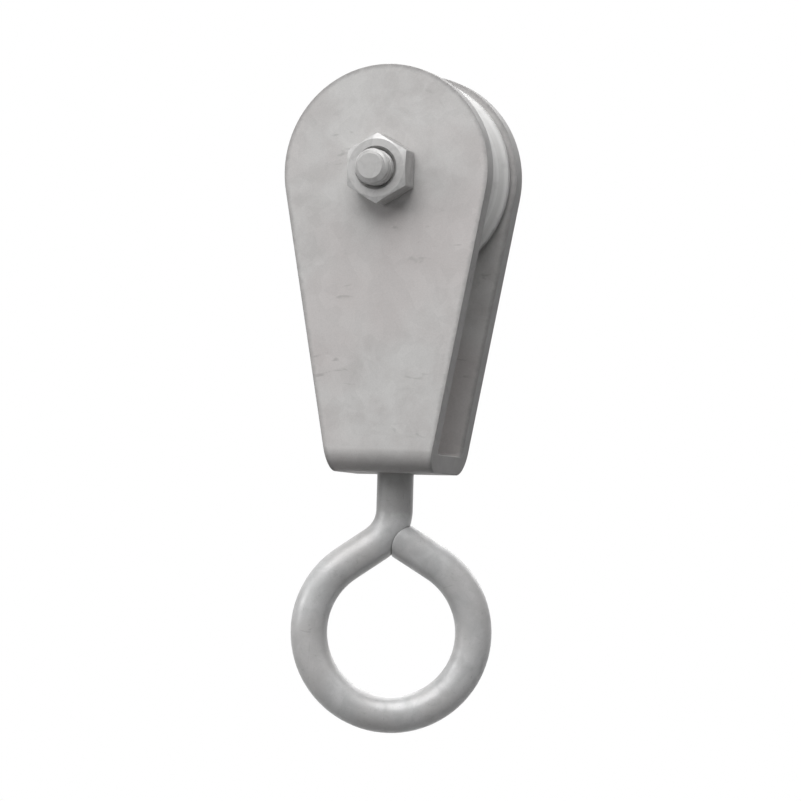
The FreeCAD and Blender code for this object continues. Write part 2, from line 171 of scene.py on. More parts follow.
class Recipe:
    # A material's nodes, with the object's own coordinates in millimetres
    def __init__(self, name):
        self.material = bpy.data.materials.new(name)
        self.material.use_nodes = True
        self.tree = self.material.node_tree
        self.shader = self.tree.nodes["Principled BSDF"]
        metres = self.add("ShaderNodeTexCoord").outputs["Object"]
        self.place = self.scaled(metres, 1 / mm)

    def add(self, kind, **settings):
        node = self.tree.nodes.new(kind)
        for name, setting in settings.items():
            setattr(node, name, setting)
        return node

    def feed(self, socket, term, asColour=False):
        # A term is another node's output, a number or a colour
        if isinstance(term, bpy.types.NodeSocket):
            self.tree.links.new(term, socket)
        else:
            socket.default_value = (*term, 1) if asColour else term

    def scaled(self, vector, factor):
        node = self.add("ShaderNodeVectorMath", operation="SCALE")
        self.feed(node.inputs[0], vector)
        self.feed(node.inputs["Scale"], factor)
        return node.outputs[0]

    def stretched(self, x, y, z):
        # Coordinates squeezed or drawn out along the axes
        node = self.add("ShaderNodeVectorMath", operation="MULTIPLY")
        self.feed(node.inputs[0], self.place)
        self.feed(node.inputs[1], (x, y, z))
        return node.outputs[0]

    def apart(self):
        node = self.add("ShaderNodeSeparateXYZ")
        self.feed(node.inputs[0], self.place)
        return node.outputs

    def noise(self, size, detail, rough=0.5, warp=0, place=None):
        node = self.add("ShaderNodeTexNoise")
        self.feed(node.inputs["Scale"], 1 / size)
        self.feed(node.inputs["Detail"], detail)
        self.feed(node.inputs["Roughness"], rough)
        self.feed(node.inputs["Distortion"], warp)
        self.feed(node.inputs["Vector"], place or self.place)
        return node.outputs["Fac"]

    def crystals(self, size):
        node = self.add("ShaderNodeTexVoronoi")
        self.feed(node.inputs["Scale"], 1 / size)
        self.feed(node.inputs["Vector"], self.place)
        grey = self.add("ShaderNodeSeparateColor")
        self.feed(grey.inputs[0], node.outputs["Color"])
        return grey.outputs[0]

    def remap(self, value, band, result=(0, 1)):
        # Takes a band of values softly over to the two results
        node = self.add("ShaderNodeMapRange", interpolation_type="SMOOTHSTEP")
        self.feed(node.inputs[0], value)
        for socket, number in zip(node.inputs[1:5], (*band, *result)):
            self.feed(socket, number)
        return node.outputs[0]

    def combine(self, first, second, operation):
        node = self.add("ShaderNodeMath", operation=operation)
        self.feed(node.inputs[0], first)
        self.feed(node.inputs[1], second)
        return node.outputs[0]

    def plus(self, first, second):
        return self.combine(first, second, "ADD")

    def times(self, first, second):
        return self.combine(first, second, "MULTIPLY")

    def unsigned(self, value):
        return self.combine(value, 0, "ABSOLUTE")

    def distance(self, first, second):
        # The distance from an axis, out of the two distances across it
        squares = self.plus(self.times(first, first), self.times(second, second))
        return self.combine(squares, 0.5, "POWER")

    def fromAxle(self, centreHeight=0):
        # The distance from the axle and the place along it
        x, along, z = self.apart()
        return self.distance(x, self.plus(z, -centreHeight)), along

    def roundAxle(self, centreHeight):
        # A place that is the same all the way round the axle, for marks left by turning
        distance, along = self.fromAxle(centreHeight)
        node = self.add("ShaderNodeCombineXYZ")
        self.feed(node.inputs[0], distance)
        self.feed(node.inputs[1], along)
        return node.outputs[0]

    def blend(self, share, first, second):
        node = self.add("ShaderNodeMix", data_type="RGBA")
        self.feed(node.inputs["Factor"], share)
        self.feed(node.inputs[6], first, asColour=True)
        self.feed(node.inputs[7], second, asColour=True)
        return node.outputs[2]

    def bump(self, height, depth, under=None):
        node = self.add("ShaderNodeBump")
        self.feed(node.inputs["Distance"], depth * mm)
        self.feed(node.inputs["Strength"], 1)
        self.feed(node.inputs["Height"], height)
        if under:
            self.feed(node.inputs["Normal"], under)
        return node.outputs[0]

    def finish(self, colour, roughness, normal, metallic, **rest):
        rest.update({"Base Color": colour, "Roughness": roughness, "Normal": normal, "Metallic": metallic})
        for name, term in rest.items():
            self.feed(self.shader.inputs[name], term)
        return self.material


# Patterns of all galvanised pieces; a pair of numbers is the band of noise over which a mark sets in
zinc = {
    "stain": (0.35, 0.68), "patch": (0.4, 0.62), "patchSize": 3.1, "patchMost": 0.7,
    "grain": (0.3, 0.7), "grainShade": (0.96, 1.04), "rough": (0.3, 0.7), "smoother": 0.06, "rougher": 0.08,
    "stroke": (0.57, 0.76), "strokeStretch": (0.5, 1, 1.3), "strokeDepth": -0.008,
    "handled": (0.48, 0.6), "handledSize": 6,
    "rub": (0.62, 0.75), "rubSize": 0.5, "rubStretch": (1.6, 1.6, 0.11), "rubPolish": -0.1, "rubDepth": 0.006,
}


def galvanised(name, look, paintedShadeShare):
    # Zinc coat: faint crystals, cloudy stains, a fine grain and a few rubbed marks, with painted shade
    # blended in where the given share puts it
    recipe = Recipe(name)
    clouds = recipe.noise(look["cloud"], detail=5, rough=0.6, warp=0.6)
    patches = recipe.noise(look["cloud"] * zinc["patchSize"], detail=2)
    grain = recipe.noise(look["grain"], detail=3, rough=0.7)
    stained = recipe.blend(recipe.remap(clouds, zinc["stain"]), look["light"], look["dark"])
    warmed = recipe.blend(recipe.remap(patches, zinc["patch"], (0, zinc["patchMost"])), stained, look["warm"])
    withPaintedShade = recipe.blend(paintedShadeShare(recipe), warmed, look["spotAndShadeTone"])  # painted shade: the darkest tone, where the share function puts it
    # Scuffs from handling, in a few places only
    strokes = recipe.noise(look["scuff"], detail=2, warp=0.9, place=recipe.stretched(*zinc["strokeStretch"]))
    handled = recipe.noise(look["scuff"] * zinc["handledSize"], detail=1)
    scuffs = recipe.times(recipe.remap(strokes, zinc["stroke"]), recipe.remap(handled, zinc["handled"]))
    facets = recipe.remap(recipe.crystals(look["crystal"]), (0, 1), (1 - look["facet"], 1 + look["facet"]))
    shade = recipe.times(facets, recipe.remap(grain, zinc["grain"], zinc["grainShade"]))
    shade = recipe.times(shade, recipe.remap(scuffs, (0, 1), (1, 1 - look["scuffShade"])))
    rubs = recipe.noise(zinc["rubSize"], detail=3, rough=0.6, warp=0.4,
                        place=recipe.stretched(*zinc["rubStretch"]))
    roughness = (look["rough"] - zinc["smoother"], look["rough"] + zinc["rougher"])
    rough = recipe.plus(recipe.remap(clouds, zinc["rough"], roughness),
                        recipe.remap(rubs, zinc["rub"], (0, zinc["rubPolish"])))
    waves = recipe.bump(recipe.noise(look["wave"], detail=2, rough=0.4), look["waveDepth"])
    marks = recipe.bump(scuffs, zinc["strokeDepth"], recipe.bump(rubs, zinc["rubDepth"], waves))
    normal = recipe.bump(grain, look["grainDepth"], marks)
    return recipe.finish(recipe.scaled(withPaintedShade, shade), rough, normal, look["metallic"],
                         **{"Specular IOR Level": look["gloss"]})


# Patterns of all turned pieces
toolMarks = {
    "mark": (0.3, 0.7), "markRough": 0.06, "band": (0.35, 0.65), "bandSize": 9,
    "spot": (0.5, 0.75), "spotSize": 2.5, "spotMost": 0.55, "spotRough": 0.12,
}


def turnedSteel(name, look, centreHeight=0):
    # Tool marks run round the axle
    recipe = Recipe(name)
    roundAxle = recipe.roundAxle(centreHeight)
    marks = recipe.noise(look["mark"], detail=3, rough=0.6, place=roundAxle)
    bands = recipe.noise(look["mark"] * toolMarks["bandSize"], detail=2, place=roundAxle)
    spots = recipe.noise(toolMarks["spotSize"], detail=4, rough=0.6)
    colour = recipe.blend(recipe.remap(bands, toolMarks["band"]), look["light"], look["dark"])
    spotShare = recipe.remap(spots, toolMarks["spot"], (0, toolMarks["spotMost"]))
    roughness = (look["rough"] - toolMarks["markRough"], look["rough"] + toolMarks["markRough"])
    rough = recipe.plus(recipe.remap(marks, toolMarks["mark"], roughness),
                        recipe.remap(spots, toolMarks["spot"], (0, toolMarks["spotRough"])))
    return recipe.finish(recipe.blend(spotShare, colour, look["spotAndShadeTone"]), rough,
                         recipe.bump(marks, look["markDepth"]), look["metallic"],
                         **{"Anisotropic": look["brushed"], "Specular IOR Level": look["gloss"]})


# Patterns of all plated pieces
plating = {
    "smear": (0.4, 0.65), "smearSize": 1.7, "rough": (0.35, 0.7), "smoother": 0.05, "rougher": 0.1,
    "scratch": (0.6, 0.72), "scratchSize": 0.35, "scratchStretch": (0.3, 1, 2.2), "scratchRough": 0.12,
    "scratchDepth": 0.006, "fineSize": 0.12, "fineDepth": 0.004, "rootShadeFade": 0.4,
}


def zincPlated(name, look):
    # Bright plating, with painted shade in the bolt's thread roots and inside the nut's bore
    recipe = Recipe(name)
    fine = recipe.noise(plating["fineSize"], detail=3, rough=0.7)
    smear = recipe.noise(plating["smearSize"], detail=4, rough=0.6, warp=0.8)
    scratches = recipe.noise(plating["scratchSize"], detail=2, rough=0.6, warp=0.3,
                             place=recipe.stretched(*plating["scratchStretch"]))
    colour = recipe.blend(recipe.remap(smear, plating["smear"]), look["light"], look["dark"])
    if "rootShade" in look:
        # Painted shade: darker close to the axle, in the thread roots and the bore, between two places along
        # it
        distance, along = recipe.fromAxle()
        deep = recipe.remap(distance, (look["rootRadius"], look["crestRadius"]), (1, 0))
        fromTip = recipe.remap(along, (look["rootShadeFrom"], look["rootShadeFrom"] + plating["rootShadeFade"]))
        toHead = recipe.remap(along, (look["rootShadeTo"], look["rootShadeTo"] + plating["rootShadeFade"]), (1, 0))
        colour = recipe.blend(recipe.times(recipe.times(deep, fromTip), toHead), colour, look["rootShade"])
    roughness = (look["rough"] - plating["smoother"], look["rough"] + plating["rougher"])
    rough = recipe.plus(recipe.remap(smear, plating["rough"], roughness),
                        recipe.remap(scratches, plating["scratch"], (0, plating["scratchRough"])))
    normal = recipe.bump(fine, plating["fineDepth"], recipe.bump(scratches, plating["scratchDepth"]))
    return recipe.finish(colour, rough, normal, look["metallic"])


# Housing: the folded plate

housingLook = {
    "edgeRadius": 0.35 * mm,
    "light": (0.530, 0.523, 0.515), "dark": (0.465, 0.452, 0.445), "warm": (0.500, 0.472, 0.465),
    # The darkest tone here is painted shade along the cheek's outline and over its cut edge
    "spotAndShadeTone": (0.34, 0.332, 0.328), "edgeShadeWidth": 0.9, "unevenSize": 1.1, "uneven": 0.8,
    "crystal": 2.2, "facet": 0.025, "cloud": 7, "grain": 0.22, "scuff": 1.9, "scuffShade": 0.2,
    "rough": 0.55, "wave": 9, "waveDepth": 0.04, "grainDepth": 0.006, "metallic": 0.0, "gloss": 0.15,
}
cheek = {"radius": 17.5, "angle": 10.5, "turnOver": 1}  # the teardrop's round top and its tapered sides


def paintedEdgeShade(recipe):
    # Painted shade: 1 at the teardrop's outline and over its cut edge, 0 further in; measured from the axle
    # above, across the taper below
    parts = recipe.apart()
    sideways = recipe.unsigned(parts[0])
    height = recipe.plus(parts[2], -axle.z / mm)
    lean = math.radians(cheek["angle"])
    fromSide = recipe.plus(recipe.times(sideways, math.cos(lean)), recipe.times(height, -math.sin(lean)))
    tangent = -cheek["radius"] * math.sin(lean)
    above = recipe.remap(height, (tangent - cheek["turnOver"], tangent + cheek["turnOver"]))
    below = recipe.combine(1, above, "SUBTRACT")
    fromMiddle = recipe.distance(sideways, height)
    outwards = recipe.plus(recipe.times(fromMiddle, above), recipe.times(fromSide, below))
    cloudy = recipe.noise(housingLook["unevenSize"], detail=3, rough=0.55)
    uneven = recipe.times(cloudy, housingLook["uneven"])
    outline = cheek["radius"] + housingLook["uneven"] / 2
    return recipe.remap(recipe.plus(outwards, uneven), (outline - housingLook["edgeShadeWidth"], outline))


housing = roundedCopy("housing", "foldedPlate", "frame", housingLook["edgeRadius"], segments=3)
housing.data.materials.append(galvanised("galvanisedPlate", housingLook, paintedEdgeShade))
print("housing done")


# Eye: round rod, upset to a head above, bent to a ring and pushed against its own neck

eyeLook = {
    "light": (0.47, 0.47, 0.47), "dark": (0.39, 0.39, 0.39), "warm": (0.42, 0.41, 0.405),
    # The darkest tone here is painted shadow round the shank under the fold
    "spotAndShadeTone": (0.28, 0.277, 0.274), "shadeMiddle": -6, "shadeReach": (4.5, 8.5), "unevenSize": 1.6, "uneven": 3,
    "crystal": 1.3, "facet": 0.03, "cloud": 3.5, "grain": 0.16, "scuff": 0.9, "scuffShade": 0.15,
    "rough": 0.34, "wave": 3.2, "waveDepth": 0.05, "grainDepth": 0.004, "metallic": 0.1, "gloss": 0.5,
}
rod = {
    "radius": 3 * mm, "ring": 13.5 * mm, "ringDrop": 30.1 * mm, "bend": 7 * mm, "lean": 55, "turned": 20,
    "headRadius": 4.5 * mm, "headHeight": 3.2 * mm, "headEdge": 0.35 * mm, "rootFillet": 0.15 * mm,
    "seam": 0.04 * mm, "endRun": 1.5 * mm, "endEdge": 0.3 * mm, "hugFrom": 1.0 * mm, "hugMost": 1.9 * mm,
    "endTurns": (0.35, 0.7), "endFace": (0.8, 0.6, 0.4, 0.2, 0.05),
    "around": 56, "domeSteps": 12, "filletSteps": 4, "endSteps": 6, "arcStep": 4, "straightStep": 2.5 * mm,
}
# The route lies in X and Z below the head's bearing face: shank, bend, shoulder, ring and back to the neck
lean = math.radians(rod["lean"])
shoulder = (rod["ring"] * math.cos(lean) - rod["bend"] * (1 - math.cos(lean))) / math.sin(lean)
rise = rod["ring"] * math.sin(lean) + shoulder * math.cos(lean) + rod["bend"] * math.sin(lean)
ringMiddle = Vector((0, 0, -rod["ringDrop"]))
bendMiddle = ringMiddle + Vector((-rod["bend"], 0, rise))
toBend = bendMiddle - ringMiddle
leaveAngle = math.atan2(toBend.z, toBend.x) - math.acos(rod["ring"] / toBend.length)


def onCircle(middle, radius, angle):
    return middle + Vector((math.cos(angle), 0, math.sin(angle))) * radius


def straightRun(start, finish):
    # Points along the rod, each with the rod's direction there
    count = max(1, round((finish - start).length / rod["straightStep"]))
    return [(start.lerp(finish, step / count), (finish - start).normalized()) for step in range(count + 1)]


def arcRun(middle, radius, first, last):
    count = max(1, round(abs(math.degrees(last - first)) / rod["arcStep"]))
    sense = 1 if last > first else -1
    angles = [first + (last - first) * step / count for step in range(count + 1)]
    return [(onCircle(middle, radius, a), Vector((-math.sin(a), 0, math.cos(a))) * sense) for a in angles]


def rodRing(middle, along, radius, advance=None):
    # Points round the rod; the advance moves each of them on along the rod
    across = Vector((along.z, 0, -along.x))
    points = []
    for step in range(rod["around"]):
        a = 2 * math.pi * step / rod["around"]
        inPlane, aside = radius * math.cos(a), radius * math.sin(a)
        further = advance(inPlane, aside) if advance else 0
        points.append(middle + across * inPlane + Vector((0, aside, 0)) + along * further)
    return points


def gapToNeck(inPlane, aside):
    # From the cut end's plane to the neck's bend, no further than the end gives way
    flank = rod["bend"] + math.sqrt(max(0, (rod["radius"] + rod["seam"]) ** 2 - aside ** 2))
    gap = rod["bend"] + rod["radius"] - math.sqrt(flank ** 2 - inPlane ** 2)
    past = gap - rod["hugFrom"]
    spare = rod["hugMost"] - rod["hugFrom"]
    return gap if past < 0 else rod["hugFrom"] + spare * (1 - math.exp(-past / spare))


def paintedFoldShadow(recipe):
    # Painted shadow of the fold: 1 round the shank at the fold, 0 at the head and from the shoulders down
    away = recipe.unsigned(recipe.plus(recipe.apart()[2], -eyeLook["shadeMiddle"]))
    cloudy = recipe.noise(eyeLook["unevenSize"], detail=3, rough=0.55)
    uneven = recipe.times(cloudy, eyeLook["uneven"])
    return recipe.remap(recipe.plus(away, uneven), eyeLook["shadeReach"], (1, 0))


route = straightRun(Vector((0, 0, -rod["rootFillet"])), bendMiddle + Vector((rod["bend"], 0, 0)))
route += arcRun(bendMiddle, rod["bend"], 0, -lean)[1:]
ringStart = onCircle(ringMiddle, rod["ring"], math.pi - lean)
route += straightRun(route[-1][0], ringStart)[1:]
route += arcRun(ringMiddle, rod["ring"], math.pi - lean, 2 * math.pi + leaveAngle)[1:]
inwards = (bendMiddle - route[-1][0]).normalized()
cutMiddle = bendMiddle - inwards * (rod["bend"] + rod["radius"])
route += straightRun(route[-1][0], cutMiddle - inwards * rod["endRun"])[1:]

# Domed head, its rounded rim and the fillet to the shank
domeRadius = (rod["headRadius"] ** 2 + rod["headHeight"] ** 2) / (2 * rod["headHeight"])
domeHalf = math.asin(rod["headRadius"] / domeRadius)
head = []
for step in range(1, rod["domeSteps"] + 1):
    a = domeHalf * step / rod["domeSteps"]
    head.append((domeRadius * math.sin(a), domeRadius * (math.cos(a) - 1) + rod["headHeight"]))
head.append((rod["radius"] + rod["rootFillet"], 0))
head = roundCorners(head, rod["headEdge"], closed=False)
for step in range(1, rod["filletSteps"]):
    a = math.radians(90) * step / rod["filletSteps"]
    fillet = Vector((1 - math.sin(a), math.cos(a) - 1)) * rod["rootFillet"]
    head.append((rod["radius"] + fillet.x, fillet.y))
rings = [rodRing(Vector((0, 0, height)), Vector((0, 0, -1)), radius) for radius, height in head]
rings += [rodRing(middle, along, rod["radius"]) for middle, along in route]

# The cut end hugs the neck's flank, with a broken edge
for share in rod["endTurns"]:
    rings.append(rodRing(cutMiddle - inwards * rod["endRun"] * (1 - share), inwards, rod["radius"],
                         lambda u, v: share * (gapToNeck(u, v) - rod["endEdge"])))
for step in range(rod["endSteps"] + 1):
    a = math.radians(90) * step / rod["endSteps"]
    rings.append(rodRing(cutMiddle, inwards, rod["radius"] - rod["endEdge"] * (1 - math.cos(a)),
                         lambda u, v: gapToNeck(u, v) - rod["endEdge"] * (1 - math.sin(a))))
for share in rod["endFace"]:
    rings.append(rodRing(cutMiddle, inwards, (rod["radius"] - rod["endEdge"]) * share, gapToNeck))

spin = Matrix.Rotation(math.radians(rod["turned"]), 3, "Z")
rings = [[spin @ point for point in ring] for ring in rings]
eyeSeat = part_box("swivel_washer")[1].z
eye = newPiece("rodEye", skin(rings, "rodEye", angle=50), "eye", (0, 0, eyeSeat))
eye.data.materials.append(galvanised("galvanisedRod", eyeLook, paintedFoldShadow))
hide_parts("eye")
print("eye done")


# Wheel: turned steel with a round groove

wheelLook = {
    "grooveRadius": 4.25 * mm, "floorRadius": 13.5 * mm, "grooveSteps": 32, "edgeRadius": 0.28 * mm,
    "seatRadius": 9.5 * mm, "shoulderRadius": 8.5 * mm, "seatEnd": 3 * mm,
    "light": (0.60, 0.597, 0.59), "dark": (0.50, 0.497, 0.49), "spotAndShadeTone": (0.40, 0.395, 0.39),
    "mark": 0.09, "markDepth": 0.012, "rough": 0.42, "metallic": 0.15, "brushed": 0.3, "gloss": 0.25,
}
low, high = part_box("sheave")
side = high.y
rim = (high.z - low.z) / 2
grooveCentre = wheelLook["floorRadius"] + wheelLook["grooveRadius"]
grooveHalf = math.sqrt(wheelLook["grooveRadius"] ** 2 - (grooveCentre - rim) ** 2)
turn = math.atan2(grooveHalf, grooveCentre - rim)
groove = []
for step in range(wheelLook["grooveSteps"] + 1):
    a = turn * (2 * step / wheelLook["grooveSteps"] - 1)
    groove.append((wheelLook["grooveRadius"] * math.sin(a),
                   grooveCentre - wheelLook["grooveRadius"] * math.cos(a)))
outside = [
    (-side, wheelLook["seatRadius"]), (-side, rim), *groove, (side, rim),
    (side, wheelLook["shoulderRadius"]), (wheelLook["seatEnd"], wheelLook["shoulderRadius"]),
    (wheelLook["seatEnd"], wheelLook["seatRadius"]),
]
wheel = turned("groovedWheel", roundCorners(outside, wheelLook["edgeRadius"]), "wheel")
wheel.data.materials.append(turnedSteel("turnedSteel", wheelLook))
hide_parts("sheave")
print("wheel done")


# Bearing: ground rings, pressed shields, balls in a moulded cage

shieldLook = {
    "bead": 0.12 * mm, "margin": 0.22, "slope": 0.12, "edgeRadius": 0.08 * mm, "steps": 96,
    "light": (0.52, 0.52, 0.53), "dark": (0.42, 0.42, 0.43), "spotAndShadeTone": (0.33, 0.32, 0.31),
    "mark": 0.12, "markDepth": 0.004, "rough": 0.34, "metallic": 0.8, "brushed": 0.0, "gloss": 0.5,
}
shieldSteel = turnedSteel("shieldSteel", shieldLook)
for nodeName, pieceName, sign in (("shield_front", "shieldFront", -1), ("shield_rear", "shieldRear", 1)):
    low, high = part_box(nodeName)
    outer = (high.z - low.z) / 2
    inner = min((vertex.co - axle).xz.length for vertex in nodes[nodeName].data.vertices)
    face, back = (low.y, high.y) if sign < 0 else (high.y, low.y)
    sunk = face - sign * shieldLook["bead"]
    margin = shieldLook["margin"] * (outer - inner)
    foot = margin + shieldLook["slope"] * (outer - inner)
    # A pressed bead stiffens the sheet between its two flat margins
    profile = [
        (face, inner), (face, inner + margin), (sunk, inner + foot),
        (sunk, outer - foot), (face, outer - margin), (face, outer),
        (back, outer), (back, inner),
    ]
    profile = roundCorners(profile, shieldLook["edgeRadius"], steps=3)
    shield = turned(pieceName, profile, "wheel", shieldLook["steps"])
    shield.data.materials.append(shieldSteel)
    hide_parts(nodeName)

ringLook = {
    "light": (0.66, 0.66, 0.67), "dark": (0.58, 0.58, 0.59), "spotAndShadeTone": (0.50, 0.50, 0.50),
    "mark": 0.05, "markDepth": 0.002, "rough": 0.16, "metallic": 0.95, "brushed": 0.0, "gloss": 0.5,
}
ringSteel = turnedSteel("ringSteel", ringLook, axle.z / mm)
for nodeName in ("bearing_outer_ring", "bearing_inner_ring"):
    nodes[nodeName].material_slots[0].material = ringSteel

ballLook = {
    "light": (0.75, 0.75, 0.77), "dark": (0.70, 0.70, 0.72), "spotAndShadeTone": (0.60, 0.60, 0.61),
    "mark": 0.4, "markDepth": 0.0005, "rough": 0.09, "metallic": 1.0, "brushed": 0.0, "gloss": 0.5,
}
ballSteel = turnedSteel("ballSteel", ballLook, axle.z / mm)
for nodeName in [name for name in nodes if name.startswith("ball_")]:
    nodes[nodeName].material_slots[0].material = ballSteel

cageLook = {
    "light": (0.42, 0.30, 0.14), "dark": (0.34, 0.235, 0.105), "flowSize": 2.4, "flow": (0.35, 0.65),
    "pebbleSize": 0.15, "pebble": (0.3, 0.7), "pebbleDepth": 0.01, "rough": (0.35, 0.52),
}
recipe = Recipe("cageNylon")
flow = recipe.noise(cageLook["flowSize"], detail=3, warp=0.5)
pebble = recipe.noise(cageLook["pebbleSize"], detail=3, rough=0.6)
nylonColour = recipe.blend(recipe.remap(flow, cageLook["flow"]), cageLook["light"], cageLook["dark"])
nylonRough = recipe.remap(pebble, cageLook["pebble"], cageLook["rough"])
nylonBump = recipe.bump(pebble, cageLook["pebbleDepth"])
nodes["bearing_cage"].material_slots[0].material = recipe.finish(nylonColour, nylonRough, nylonBump, 0)
print("bearing done")


# Sleeves each side of the bearing, and the washer under the eye's head

sleeveLook = {
    "edgeRadius": 0.25 * mm, "boreRadius": 3 * mm, "steps": 96,
    "light": (0.50, 0.50, 0.51), "dark": (0.42, 0.42, 0.42), "spotAndShadeTone": (0.34, 0.335, 0.32),
    "mark": 0.14, "markDepth": 0.01, "rough": 0.36, "metallic": 0.75, "brushed": 0.2, "gloss": 0.5,
}
sleeveSteel = turnedSteel("sleeveSteel", sleeveLook)
for nodeName, pieceName in (("spacer_front", "sleeveFront"), ("spacer_rear", "sleeveRear")):
    low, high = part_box(nodeName)
    bore, outer = sleeveLook["boreRadius"], (high.z - low.z) / 2
    profile = [(low.y, bore), (low.y, outer), (high.y, outer), (high.y, bore)]
    sleeve = turned(pieceName, roundCorners(profile, sleeveLook["edgeRadius"]), "frame", sleeveLook["steps"])
    sleeve.data.materials.append(sleeveSteel)
    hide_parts(nodeName)

washerLook = {
    "edgeRadius": 0.2 * mm, "light": (0.50, 0.50, 0.505), "dark": (0.40, 0.40, 0.40),
    "rough": 0.4, "metallic": 0.5,
}
washer = roundedCopy("swivel_washer", "punchedWasher", "frame", washerLook["edgeRadius"])
washer.data.materials.append(zincPlated("platedWasher", washerLook))
print("sleeves and washer done")


# Bolt and nut: chamfered hexagons and a real thread

thread = {
    "radius": 2.95 * mm, "depth": 0.58 * mm, "pitch": 1 * mm, "crestShare": 0.16, "flankShare": 0.62,
    "play": 0.05 * mm, "rows": 14, "sharpFrom": 32,
}
hexagon = {
    "cornerRadius": 0.35 * mm, "faceShare": 0.475, "chamferAngle": 30, "flatSteps": 8, "cornerSteps": 4,
}


def towards(degrees):
    # A unit step square to the axle, measured from up towards +X
    return Vector((math.sin(math.radians(degrees)), math.cos(math.radians(degrees))))


def hexOutline(width):
    # Points round a hexagon with soft corners, one corner at the top
    soft = hexagon["cornerRadius"]
    reach = (width / 2 - soft) / math.cos(math.radians(30))
    points = []
    for corner in range(0, 360, 60):
        for step in range(hexagon["cornerSteps"] + 1):
            bearing = corner - 30 + 60 * step / hexagon["cornerSteps"]
            points.append(towards(corner) * reach + towards(bearing) * soft)
        start = points[-1]
        finish = towards(corner + 60) * reach + towards(corner + 30) * soft
        points += [start.lerp(finish, step / hexagon["flatSteps"]) for step in range(1, hexagon["flatSteps"])]
    return points


def hexRing(outline, along, inwards=0, faceRadius=0):
    # The outline at one place along the axle, or the lower edge of its chamfer there
    slope = math.tan(math.radians(hexagon["chamferAngle"]))
    return [Vector((p.x, along + inwards * max(0, p.length - faceRadius) * slope, p.y)) for p in outline]


def threadRadius(angle, along, play=0):
    # Flat crests, sloping flanks and rounded roots on a right-hand helix
    phase = (along / thread["pitch"] + angle / (2 * math.pi)) % 1
    away = abs(phase - 0.5) * 2
    share = min(1, max(0, (away - thread["crestShare"]) / thread["flankShare"]))
    return thread["radius"] + play - thread["depth"] * share * share * (3 - 2 * share)


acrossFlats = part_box("axle_nut")[1].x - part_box("axle_nut")[0].x
outline = hexOutline(acrossFlats)
angles = [math.atan2(p.x, p.y) for p in outline]
faceRadius = hexagon["faceShare"] * acrossFlats

boltLook = {
    "tipChamfer": 0.9 * mm, "tipShare": 1.15, "threadStart": -7 * mm, "edgeRadius": 0.07 * mm,
    "dishDepth": 0.18 * mm, "dishMiddle": 0.3, "dishFloor": 0.72, "dishRim": 0.84,
    "footHeight": 0.25 * mm, "footEdge": 0.2 * mm, "footTaper": 0.1 * mm,
    # The darkest tone here is painted shade in the thread's roots
    "light": (0.41, 0.405, 0.40), "dark": (0.355, 0.35, 0.345), "rootShade": (0.11, 0.105, 0.10),
    "rough": 0.38, "metallic": 0.2, "rootRadius": 2.35, "crestRadius": 2.85, "rootShadeFrom": -16.9, "rootShadeTo": 0,
}
tip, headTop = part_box("axle_bolt")[0].y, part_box("axle_bolt")[1].y
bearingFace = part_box("housing")[1].y
# From the dished top of the head down to its foot, then the plain shank
rings = [
    circle(boltLook["dishMiddle"] * faceRadius, headTop - boltLook["dishDepth"], angles),
    circle(boltLook["dishFloor"] * faceRadius, headTop - boltLook["dishDepth"], angles),
    circle(boltLook["dishRim"] * faceRadius, headTop, angles),
    circle(faceRadius, headTop, angles),
    hexRing(outline, headTop, -1, faceRadius),
    hexRing(outline, bearingFace + boltLook["footHeight"]),
    circle(faceRadius, bearingFace + boltLook["footEdge"], angles),
    circle(faceRadius - boltLook["footTaper"], bearingFace, angles),
    circle(thread["radius"], bearingFace, angles),
    circle(thread["radius"], boltLook["threadStart"], angles),
]
rowCount = math.ceil((boltLook["threadStart"] - tip) / thread["pitch"] * thread["rows"])
for row in range(1, rowCount + 1):
    along = boltLook["threadStart"] + (tip - boltLook["threadStart"]) * row / rowCount
    blunt = thread["radius"] - boltLook["tipChamfer"] + (along - tip)
    fade = min(1, row / thread["rows"])
    radii = [thread["radius"] + (threadRadius(a, along) - thread["radius"]) * fade for a in angles]
    rings.append([circle(min(blunt, radius), along, [a])[0] for a, radius in zip(angles, radii)])
rings.append(circle(thread["radius"] - boltLook["tipShare"] * boltLook["tipChamfer"], tip, angles))
bolt = newPiece("threadedBolt", skin(rings, "threadedBolt", angle=thread["sharpFrom"]), "frame", axle)
softenEdges(bolt, boltLook["edgeRadius"])
bolt.data.materials.append(zincPlated("platedBolt", boltLook))
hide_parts("axle_bolt")

nutLook = {
    "mouth": 0.55 * mm, "leadRows": 7, "edgeRadius": 0.09 * mm,
    # The darkest tone here is painted shade inside the nut's bore
    "light": (0.455, 0.45, 0.445), "dark": (0.385, 0.38, 0.375), "rootShade": (0.14, 0.135, 0.13),
    "rough": 0.38, "metallic": 0.2, "rootRadius": 2.7, "crestRadius": 3.3, "rootShadeFrom": -15, "rootShadeTo": -9,
}
nutLow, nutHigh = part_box("axle_nut")[0].y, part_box("axle_nut")[1].y
bore = thread["radius"] + thread["play"]
rings = [
    circle(bore, nutLow + nutLook["mouth"], angles),
    circle(bore + nutLook["mouth"], nutLow, angles),
    circle(faceRadius, nutLow, angles),
    hexRing(outline, nutLow, 1, faceRadius),
    hexRing(outline, nutHigh, -1, faceRadius),
    circle(faceRadius, nutHigh, angles),
    circle(bore + nutLook["mouth"], nutHigh, angles),
    circle(bore, nutHigh - nutLook["mouth"], angles),
]
